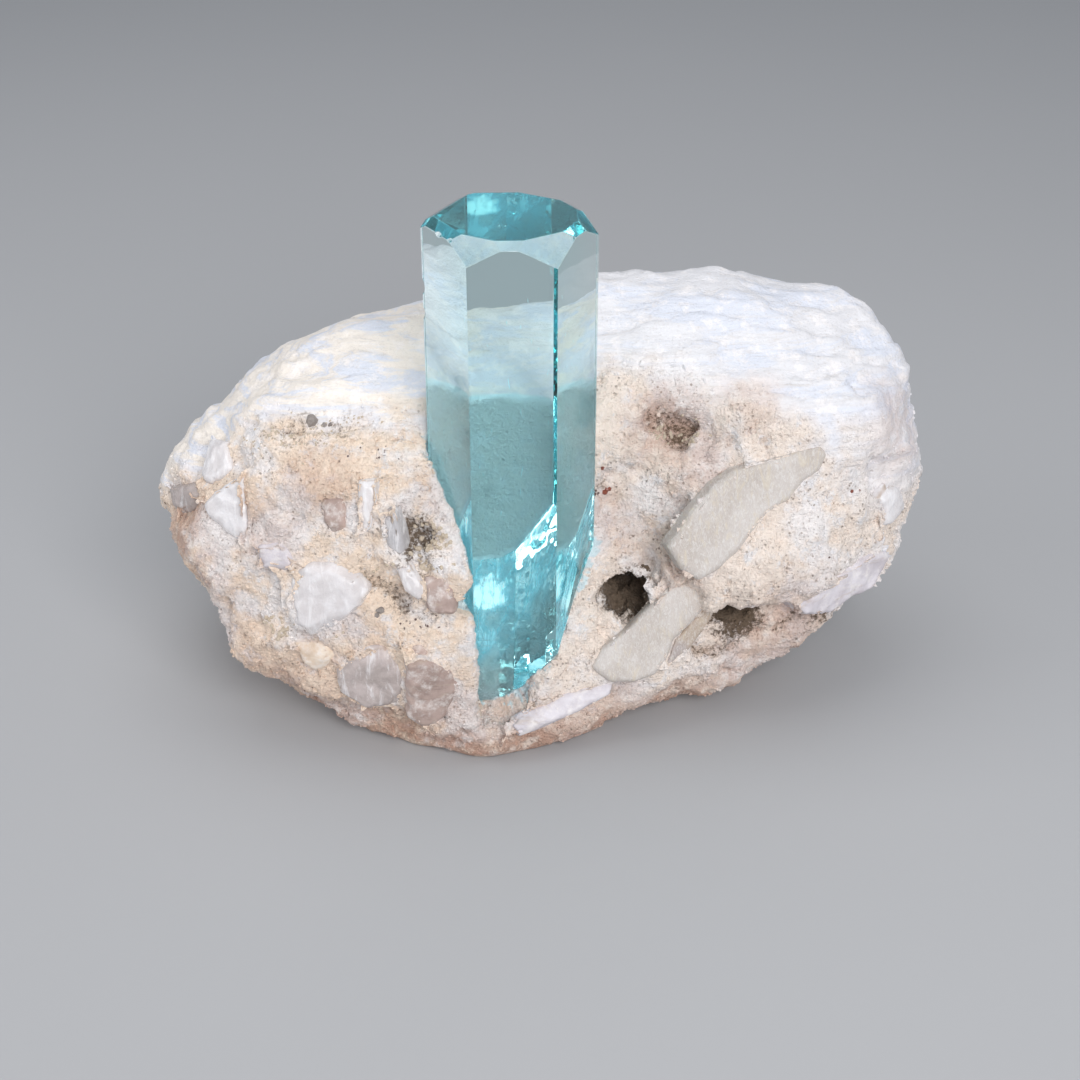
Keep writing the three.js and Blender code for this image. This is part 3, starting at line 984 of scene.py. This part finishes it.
def fleck_parts():
    """Slender upright flecks inside the prism: those named, and a few more strewn at random."""
    bm = bmesh.new()
    draw = np.random.default_rng(FLECK_SEED)
    middle = prism_middle() / MM
    strewn = []
    for _ in range(34):
        x, y = (middle[axis] + draw.uniform(-5.5, 5.5) for axis in (0, 1))
        strewn.append(((x, y, draw.uniform(27, 62)), draw.uniform(0.15, 0.7), draw.uniform(0.03, 0.07)))
    for place, long, wide in (*FLECKS, *strewn):
        turn = Euler((draw.uniform(-0.2, 0.2), draw.uniform(-0.2, 0.2), draw.uniform(0, 3)))
        at = Matrix.LocRotScale(Vector(place) * MM, turn, Vector((wide, wide, long)) * MM / 2)
        bmesh.ops.create_icosphere(bm, subdivisions=1, radius=1, matrix=at)
    return bm


# ---------------------------------------------------------------- settings


def number(name, description, default, **more):
    return FloatProperty(name=name, description=description, default=default, **more)


def length(name, description, default):
    return number(name, description, default, subtype="DISTANCE", precision=5)


def position(name, description, default):
    return FloatVectorProperty(
        name=name, description=description, default=default, subtype="XYZ", unit="LENGTH"
    )


def colour(name, description, default):
    return FloatVectorProperty(
        name=name, description=description, default=default, subtype="COLOR", size=3, min=0, max=1
    )


class LumpSettings(bpy.types.PropertyGroup):
    """The lump of albite."""

    skin: length("Skin", "Side of the quads of the lump's skin", 0.0005)
    bond: length("Bond", "How far the lump closes in on what is set in it", 0.00045)
    tuck: length("Tuck", "How deep the skin lies under a blade or block", 0.00045)
    gap: length("Gap", "Air gap between the lump and the crystal", 0.00022)
    # Its blue tint is partly painted skylight and partly the white's own tint.
    plateau_colour: colour("Plateau", "White of the laminated top", (0.75, 0.77, 0.85))
    cream_colour: colour("Cream", "Cream of the left side", (0.93, 0.85, 0.77))
    sugar_colour: colour("Sugar", "Pinkish white of the sugary front", (1.0, 0.94, 0.92))
    peach_colour: colour("Peach", "Warm patches of the sugary front", (1.0, 0.82, 0.67))
    frost_colour: colour("Frost", "Bluish white patches", (0.95, 0.94, 0.97))
    tan_colour: colour("Tan", "Tan between the grains", (0.83, 0.66, 0.55))
    seam_colour: colour("Seam", "Warm line between two plates", (0.66, 0.61, 0.58))
    # Grey of the grit, and painted shade multiplied into the hollows.
    grit_and_hollow_shade_colour: colour("Shade", "Grey of hollows", (0.56, 0.50, 0.46))
    speck_colour: colour("Speck", "Small dark pores", (0.34, 0.26, 0.21))
    rust_colour: colour("Rust", "Iron stain", (0.56, 0.33, 0.24))
    # Painted light: cyan from the crystal laid on the walls behind it.
    crystal_light_colour: colour("Socket", "Walls behind the crystal", (0.72, 0.93, 1.0))
    # Painted shade: the dark colour laid into pits, cracks and recesses.
    pit_shade_colour: colour("Soot", "Dark filling of pits and cracks", (0.13, 0.085, 0.05))


class GrainSettings(bpy.types.PropertyGroup):
    """The loose-looking grains of the sugary front."""

    count: IntProperty(name="Count", description="Grains in each joined piece", default=9800, min=1)
    pieces: IntProperty(name="Pieces", description="Joined pieces of grains", default=4, min=1)
    size: length("Size", "Half the width of a middling grain", 0.00017)


class CrystalSettings(bpy.types.PropertyGroup):
    """The aquamarine."""

    ior: number("IOR", "Refractive index of beryl", 1.577)
    tint: colour("Tint", "Colour that the crystal lets through most", (0.0, 0.82, 0.85))
    density: number("Density", "Depth of the tint, per metre", 15)
    edge: length("Edge", "Width of the worn edges", 0.00005)
    film: colour("Film", "Bluish body of the film on the break", (0.16, 0.52, 0.64))
    # Painted light: the colour of the film's brightest glow.
    film_light: colour("Film light", "Brightest of the film", (0.72, 0.97, 1.0))
    glow: number("Glow", "Light carried down to the film on the break", 0.66)
    inset: length("Inset", "How far inside the break the film lies", 0.00016)
    ripple: number("Ripple", "Height of the break's ripples", 1.0)
    ripple_step: length("Ripple step", "Longest edge on the break", 0.00042)


class SettingSettings(bpy.types.PropertyGroup):
    """Blades and blocks set in the lump."""

    skin: length("Skin", "Side of the quads of a blade's skin", 0.00023)
    chop: number("Chop", "Deepest chip off a block, as a share of its reach", 0.16)
    blade: colour("Blade", "Warm grey of the blades", (0.63, 0.575, 0.54))
    blade_shade: colour("Blade shade", "Darker clouds of the blades", (0.54, 0.475, 0.43))
    blade_light: colour("Blade light", "Pale fibres of the blades", (0.82, 0.80, 0.78))
    blade_warm: colour("Blade warm", "Cream bands of the blades", (0.70, 0.61, 0.48))
    # Painted shade: the back blade is a darker copy of the blade's colour for the shade it lies in.
    back_blade: colour("Back blade", "The blade in the shade", (0.46, 0.39, 0.37))
    grime: colour("Grime", "Dirt in cleavage steps", (0.50, 0.40, 0.32))
    rim_colour: colour("Rim", "Brown line round a blade or block", (0.42, 0.31, 0.23))
    dust: colour("Dust", "White sugar clinging to blocks", (0.88, 0.83, 0.80))
    quartz: colour("Quartz", "Milky white", (0.80, 0.77, 0.78))
    quartz_shade: colour("Quartz shade", "Clearer, greyer quartz", (0.68, 0.64, 0.64))
    quartz_veil: colour("Quartz veil", "White veils", (0.94, 0.92, 0.93))
    clear_quartz: colour("Clear quartz", "Pinkish grey of the clearer quartz", (0.58, 0.50, 0.48))
    clear_shade: colour("Clear shade", "Darker clear quartz", (0.42, 0.36, 0.34))
    grey_quartz: colour("Grey quartz", "Smoky quartz", (0.62, 0.60, 0.61))
    grey_shade: colour("Grey shade", "Darker smoky quartz", (0.48, 0.46, 0.47))
    pink: colour("Pink feldspar", "Pinkish brown blocks", (0.48, 0.36, 0.32))
    pink_shade: colour("Pink shade", "Darker pinkish brown", (0.34, 0.25, 0.22))
    lilac: colour("Lilac feldspar", "Bluish grey plates", (0.70, 0.66, 0.70))
    lilac_shade: colour("Lilac shade", "Darker bluish grey", (0.56, 0.51, 0.54))
    tan: colour("Tan feldspar", "Tan blocks", (0.84, 0.71, 0.58))
    tan_shade: colour("Tan shade", "Darker tan", (0.70, 0.54, 0.41))
    garnet: colour("Garnet", "Red-brown garnet", (0.34, 0.09, 0.05))
    garnet_shade: colour("Garnet shade", "Darker garnet", (0.12, 0.045, 0.035))
    dark: colour("Dark mineral", "Black specks", (0.13, 0.11, 0.10))
    chip_colour: colour("Chip", "Grey chips", (0.42, 0.37, 0.34))
    olive: colour("Olive", "Yellowish grains of the hollows", (0.70, 0.61, 0.50))
    olive_shade: colour("Olive shade", "Darker grains of the hollows", (0.40, 0.31, 0.22))


class StudioSettings(bpy.types.PropertyGroup):
    """Floor, lights and camera."""

    floor_colour: colour("Floor", "Colour of the board", (0.42, 0.42, 0.43))
    top_light: number("Top light", "Overhead softbox", 0.52, unit="POWER")
    front_light: number("Front light", "Front softbox", 2.05, unit="POWER")
    side_light: number("Side light", "Left softbox", 0.5, unit="POWER")
    sky: number("Sky", "Strength of the surroundings", 0.42)
    lens: number("Lens", "Focal length", 60, unit="CAMERA")
    camera_place: position("Camera", "Where the camera stands", (0, -0.209006, 0.142579))
    camera_aim: position("Aim", "What it looks at", (0, -0.005, 0.02))


class SpecimenSettings(bpy.types.PropertyGroup):
    """Everything a user can change."""

    lump: PointerProperty(type=LumpSettings)
    grains: PointerProperty(type=GrainSettings)
    crystal: PointerProperty(type=CrystalSettings)
    settings: PointerProperty(type=SettingSettings)
    studio: PointerProperty(type=StudioSettings)


# ---------------------------------------------------------------- operators


def built_lump():
    """The lump, which has to be built first."""
    lump = bpy.data.objects.get("lump")
    if lump is None:
        raise RuntimeError("build the lump first")
    return lump


class SPECIMEN_OT_lump(bpy.types.Operator):
    """Builds the lump of albite"""

    bl_idname = "specimen.lump"
    bl_label = "Lump"

    def execute(self, context):
        look = context.scene.specimen.lump
        bm, values = rock_parts(look)
        finish_piece("lump", bm, albite_finish(look), ["matrix"], None, values)
        return DONE


class SPECIMEN_OT_grains(bpy.types.Operator):
    """Strews the sugary front with albite grains"""

    bl_idname = "specimen.grains"
    bl_label = "Grains"

    def execute(self, context):
        look = context.scene.specimen.grains
        lump = built_lump().data
        centres, facings, areas, starts = faces_of(lump)
        held = point_values(lump, POINT_VALUES)
        crystal = tree_of(["aquamarine"])
        others = tree_of(STONES)
        open_faces = (1 - held["plateau"][starts]) * (centres[:, 2] > GRAIN_FLOOR)
        weights = areas * open_faces
        corners, faces = grain_shape()
        low, high = (np.array(corner) for corner in CAD_BOX)
        for number in range(look.pieces):
            draw = np.random.default_rng(GRAIN_SEED + number)
            chosen = draw.choice(len(weights), look.count, p=weights / weights.sum())
            sizes = look.size * np.exp(draw.normal(0, 0.42, (look.count, 1)))
            sizes = sizes * draw.uniform(0.5, 1.3, (look.count, 3))
            places = centres[chosen] - facings[chosen] * sizes.min(axis=1)[:, None] * 0.35
            reach = sizes.max(axis=1)[:, None]
            inside = np.all((places - reach > low) & (places + reach < high), axis=1)
            inner = np.flatnonzero(inside)
            kept = [i for i in inner if self.free(places[i], reach[i, 0], crystal, others)]
            turns = random_turns(draw, look.count)
            mesh = scattered(corners, faces, places[kept], turns[kept], sizes[kept])
            hosts = starts[chosen[kept]]
            values = {key: np.repeat(held[key][hosts], len(corners)) for key in POINT_VALUES}
            name = f"grains_{number + 1}"
            finish_piece(name, mesh, lump.materials[0], (), False, values)
        return DONE

    @staticmethod
    def free(place, size, crystal, others):
        """True where a grain touches neither the crystal nor the face of a blade or block."""
        if crystal.find_nearest(place, size + GRAIN_GAP)[0] is not None:
            return False
        return others.find_nearest(place, size * 0.6)[0] is None


class SPECIMEN_OT_crystal(bpy.types.Operator):
    """Builds the aquamarine"""

    bl_idname = "specimen.crystal"
    bl_label = "Crystal"

    def execute(self, context):
        look = context.scene.specimen.crystal
        prism = ripple_break(crystal_parts(look), look)
        crystal = finish_piece("crystal", prism, beryl_finish(look), ["aquamarine"], None)
        film, values = film_parts(crystal.data, look.inset)
        finish_piece("break_film", film, film_finish(look), (), True, values)
        finish_piece("flecks", fleck_parts(), fleck_finish(look), (), False)
        return DONE


class SPECIMEN_OT_accents(bpy.types.Operator):
    """Sets the small garnets, dark specks, chips and olive grains on the lump"""

    bl_idname = "specimen.accents"
    bl_label = "Small minerals"

    def execute(self, context):
        look = context.scene.specimen.settings
        ground = tree_from(opened(built_lump().data))
        stones = tree_of(["aquamarine", *STONES])
        kinds = {
            "garnet": ("garnets", look.garnet, look.garnet_shade, 0.3),
            "dark": ("dark_specks", look.dark, look.garnet_shade, 0.5),
            "chip": ("grey_chips", look.chip_colour, look.dark, 0.55),
            "olive": ("olive_grains", look.olive, look.olive_shade, 0.7),
        }
        for kind, finish in kinds.items():
            grains = self.set_grains(kind, ground, stones)
            finish_piece(finish[0], grains, plain_finish(*finish), smooth=False)
        return DONE

    @staticmethod
    def set_grains(kind, ground, stones):
        """All the grains of one kind, half sunk in the lump and clear of the crystal and the blocks."""
        draw = np.random.default_rng(sum(map(ord, kind)))
        bm = bmesh.new()
        for which, centre, spread, count, size in ACCENTS:
            if which != kind:
                continue
            for _ in range(count):
                aim = Vector(centre) + Vector(draw.normal(size=3) * (1, 0.25, 0.35)) * spread * 0.6
                spot, facing, _, _ = ground.find_nearest(aim * MM)
                half = Vector(size * draw.uniform(0.5, 1.25, 3)) * MM
                turn = Euler(draw.uniform(0, 6, 3))
                if stones.find_nearest(spot, max(half) + STONE_GAP)[0] is not None:
                    continue
                at = Matrix.LocRotScale(spot - facing * min(half) * 0.3, turn, half)
                bmesh.ops.create_icosphere(bm, subdivisions=1, radius=1, matrix=at)
        return bm


def chop(bm, node, cuts, share):
    """Breaks flat chips off a block's edges: cuts planes, each taking a thin slice off one side."""
    draw = np.random.default_rng(sum(map(ord, node)))
    middle = sum((v.co for v in bm.verts), Vector()) / len(bm.verts)
    for _ in range(cuts):
        away = Vector(draw.normal(size=3)).normalized()
        away.y = -abs(away.y)
        reach = max((v.co - middle).dot(away) for v in bm.verts)
        plane = middle + away * reach * (1 - share * draw.uniform(0.3, 1))
        cut = bmesh.ops.bisect_plane(
            bm, geom=[*bm.verts, *bm.edges, *bm.faces], plane_co=plane, plane_no=away, clear_outer=True
        )
        rim = [e for e in cut["geom_cut"] if isinstance(e, bmesh.types.BMEdge)]
        bmesh.ops.edgenet_fill(bm, edges=rim)
    bmesh.ops.recalc_face_normals(bm, faces=bm.faces)


def stone_parts(node, look, lump, chip, cuts):
    """A blade or block in an even skin, chipped and slightly uneven, and how brown its rim is."""
    tree = tree_of([node])
    block = merged_copy(node)
    chop(block, node, cuts, look.chop)
    bm = voxel_skin(block, look.skin)
    soften(bm, bm.verts)
    bm.normal_update()
    moves = []
    rims = []
    for v in bm.verts:
        p = v.co / MM
        _, facing, _, _ = tree.find_nearest(v.co)
        sharp = min(max(1 - facing.dot(v.normal), 0) * 4, 1)
        worn = ramp(noise.noise(p * 0.55 + Vector((4, 4, 9))), -0.1, 0.45)
        wave = 0.12 * noise.noise(p * 0.3) + chip * crease(p * 0.5 + Vector((2, 5, 1)))
        moves.append(v.normal * min(wave - 0.35 * sharp * worn, 0.1) * MM)
        beside = lump.find_nearest(v.co, RIM_REACH)[0] is not None
        rims.append(0.7 * sharp * ramp(noise.noise(p * 0.7), -0.3, 0.3) * beside)
    shift(bm, moves)
    return bm, rims


def set_stones(nodes, look, finishes, chip, cuts):
    """Like blades or blocks, finished by name or else by slot. chip is their unevenness."""
    lump = tree_of(["matrix"])
    crystal = tree_of(["aquamarine"])
    for node in nodes:
        bm, rims = stone_parts(node, look, lump, chip, cuts)
        keep_clear(bm, crystal, STONE_GAP)
        keep_inside(bm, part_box(node))
        shade_by_bend(bm)
        slot = SLOT_OF[node]
        finish = finishes.get(node) or finishes[slot]
        finish_piece(node + "_stone", bm, finish, [node], None, {"rim": rims})


class SPECIMEN_OT_blades(bpy.types.Operator):
    """Builds the feldspar blades"""

    bl_idname = "specimen.blades"
    bl_label = "Blades"

    def execute(self, context):
        look = context.scene.specimen.settings
        finishes = {
            "blade": blade_finish(look, "blade", look.blade, look.blade_shade),
            # The back blade's darker colour is painted shade.
            "shaded_blade": blade_finish(look, "back_blade", look.back_blade, look.grime),
        }
        set_stones(BLADES, look, finishes, 0.05, 0)
        return DONE


class SPECIMEN_OT_quartz(bpy.types.Operator):
    """Builds the quartz blocks and plates"""

    bl_idname = "specimen.quartz"
    bl_label = "Quartz"

    def execute(self, context):
        look = context.scene.specimen.settings
        finishes = {
            "quartz": quartz_finish(look, "milky_quartz", look.quartz, look.quartz_shade),
            "grey_quartz": quartz_finish(look, "grey_quartz", look.grey_quartz, look.grey_shade),
        }
        clear = quartz_finish(look, "clear_quartz", look.clear_quartz, look.clear_shade)
        finishes.update(dict.fromkeys(CLEAR, clear))
        set_stones(QUARTZ, look, finishes, 0.08, 12)
        return DONE


class SPECIMEN_OT_feldspar(bpy.types.Operator):
    """Builds the feldspar blocks and plates"""

    bl_idname = "specimen.feldspar"
    bl_label = "Feldspar"

    def execute(self, context):
        look = context.scene.specimen.settings
        tones = {
            "pink_feldspar": (look.pink, look.pink_shade),
            "lilac_feldspar": (look.lilac, look.lilac_shade),
            "tan_feldspar": (look.tan, look.tan_shade),
        }
        finishes = {name: feldspar_finish(look, name, *pair) for name, pair in tones.items()}
        set_stones(FELDSPAR, look, finishes, 0.18, 9)
        return DONE


def stand(thing, place, aim):
    """Puts a lamp or the camera at place, turned to face aim."""
    thing.location = place
    thing.rotation_euler = (Vector(aim) - Vector(place)).to_track_quat("-Z", "Y").to_euler()


class SPECIMEN_OT_studio(bpy.types.Operator):
    """Sets up the floor, the lights and the camera"""

    bl_idname = "specimen.studio"
    bl_label = "Studio"

    def execute(self, context):
        scene = context.scene
        look = scene.specimen.studio
        self.lay_floor(look)
        for name, place, side, power in SOFTBOXES:
            light = bpy.data.lights.new(name, "AREA")
            light.shape = "SQUARE"
            light.size = side
            light.energy = getattr(look, power)
            stand(put_in_scene(name, light), place, look.camera_aim)
        self.set_sky(scene, look)
        self.set_camera(scene, look)
        scene.view_settings.view_transform = "Standard"
        scene.cycles.max_bounces = GLASS_BOUNCES
        scene.cycles.transmission_bounces = GLASS_BOUNCES
        scene.cycles.glossy_bounces = GLASS_BOUNCES
        scene.cycles.diffuse_bounces = 6
        return DONE

    @staticmethod
    def lay_floor(look):
        bm = bmesh.new()
        bmesh.ops.create_grid(bm, x_segments=1, y_segments=1, size=FLOOR_HALF)
        mesh = as_mesh(bm, "floor")
        mesh.materials.append(floor_finish(look))
        put_in_scene("floor", mesh)

    @staticmethod
    def set_sky(scene, look):
        scene.world = bpy.data.worlds.new("surroundings")
        scene.world.use_nodes = True
        back = scene.world.node_tree.nodes["Background"]
        back.inputs["Color"].default_value = SKY_TINT
        back.inputs["Strength"].default_value = look.sky

    @staticmethod
    def set_camera(scene, look):
        camera = bpy.data.cameras.new("camera")
        camera.lens = look.lens
        camera.sensor_width = SENSOR_WIDTH
        camera.clip_start = 0.01
        scene.camera = put_in_scene("camera", camera)
        stand(scene.camera, look.camera_place, look.camera_aim)


STEPS = (
    SPECIMEN_OT_lump,
    SPECIMEN_OT_grains,
    SPECIMEN_OT_accents,
    SPECIMEN_OT_blades,
    SPECIMEN_OT_quartz,
    SPECIMEN_OT_feldspar,
    SPECIMEN_OT_crystal,
    SPECIMEN_OT_studio,
)


class SPECIMEN_PT_panel(bpy.types.Panel):
    """Lists the specimen's steps and settings"""

    bl_idname = "SPECIMEN_PT_panel"
    bl_label = "Specimen"
    bl_space_type = "VIEW_3D"
    bl_region_type = "UI"
    bl_category = "Specimen"

    def draw(self, context):
        for step in STEPS:
            self.layout.operator(step.bl_idname)
        for key in ("lump", "grains", "crystal", "settings", "studio"):
            group = getattr(context.scene.specimen, key)
            box = self.layout.box()
            for name in group.__annotations__:
                box.prop(group, name)


CLASSES = (
    LumpSettings,
    GrainSettings,
    CrystalSettings,
    SettingSettings,
    StudioSettings,
    SpecimenSettings,
    *STEPS,
    SPECIMEN_PT_panel,
)


def register():
    for cls in CLASSES:
        bpy.utils.register_class(cls)
    bpy.types.Scene.specimen = PointerProperty(type=SpecimenSettings)


def unregister():
    del bpy.types.Scene.specimen
    for cls in reversed(CLASSES):
        bpy.utils.unregister_class(cls)


def main():
    register()
    for step in STEPS:
        group, name = step.bl_idname.split(".")
        getattr(getattr(bpy.ops, group), name)()


if __name__ == "__main__":
    main()
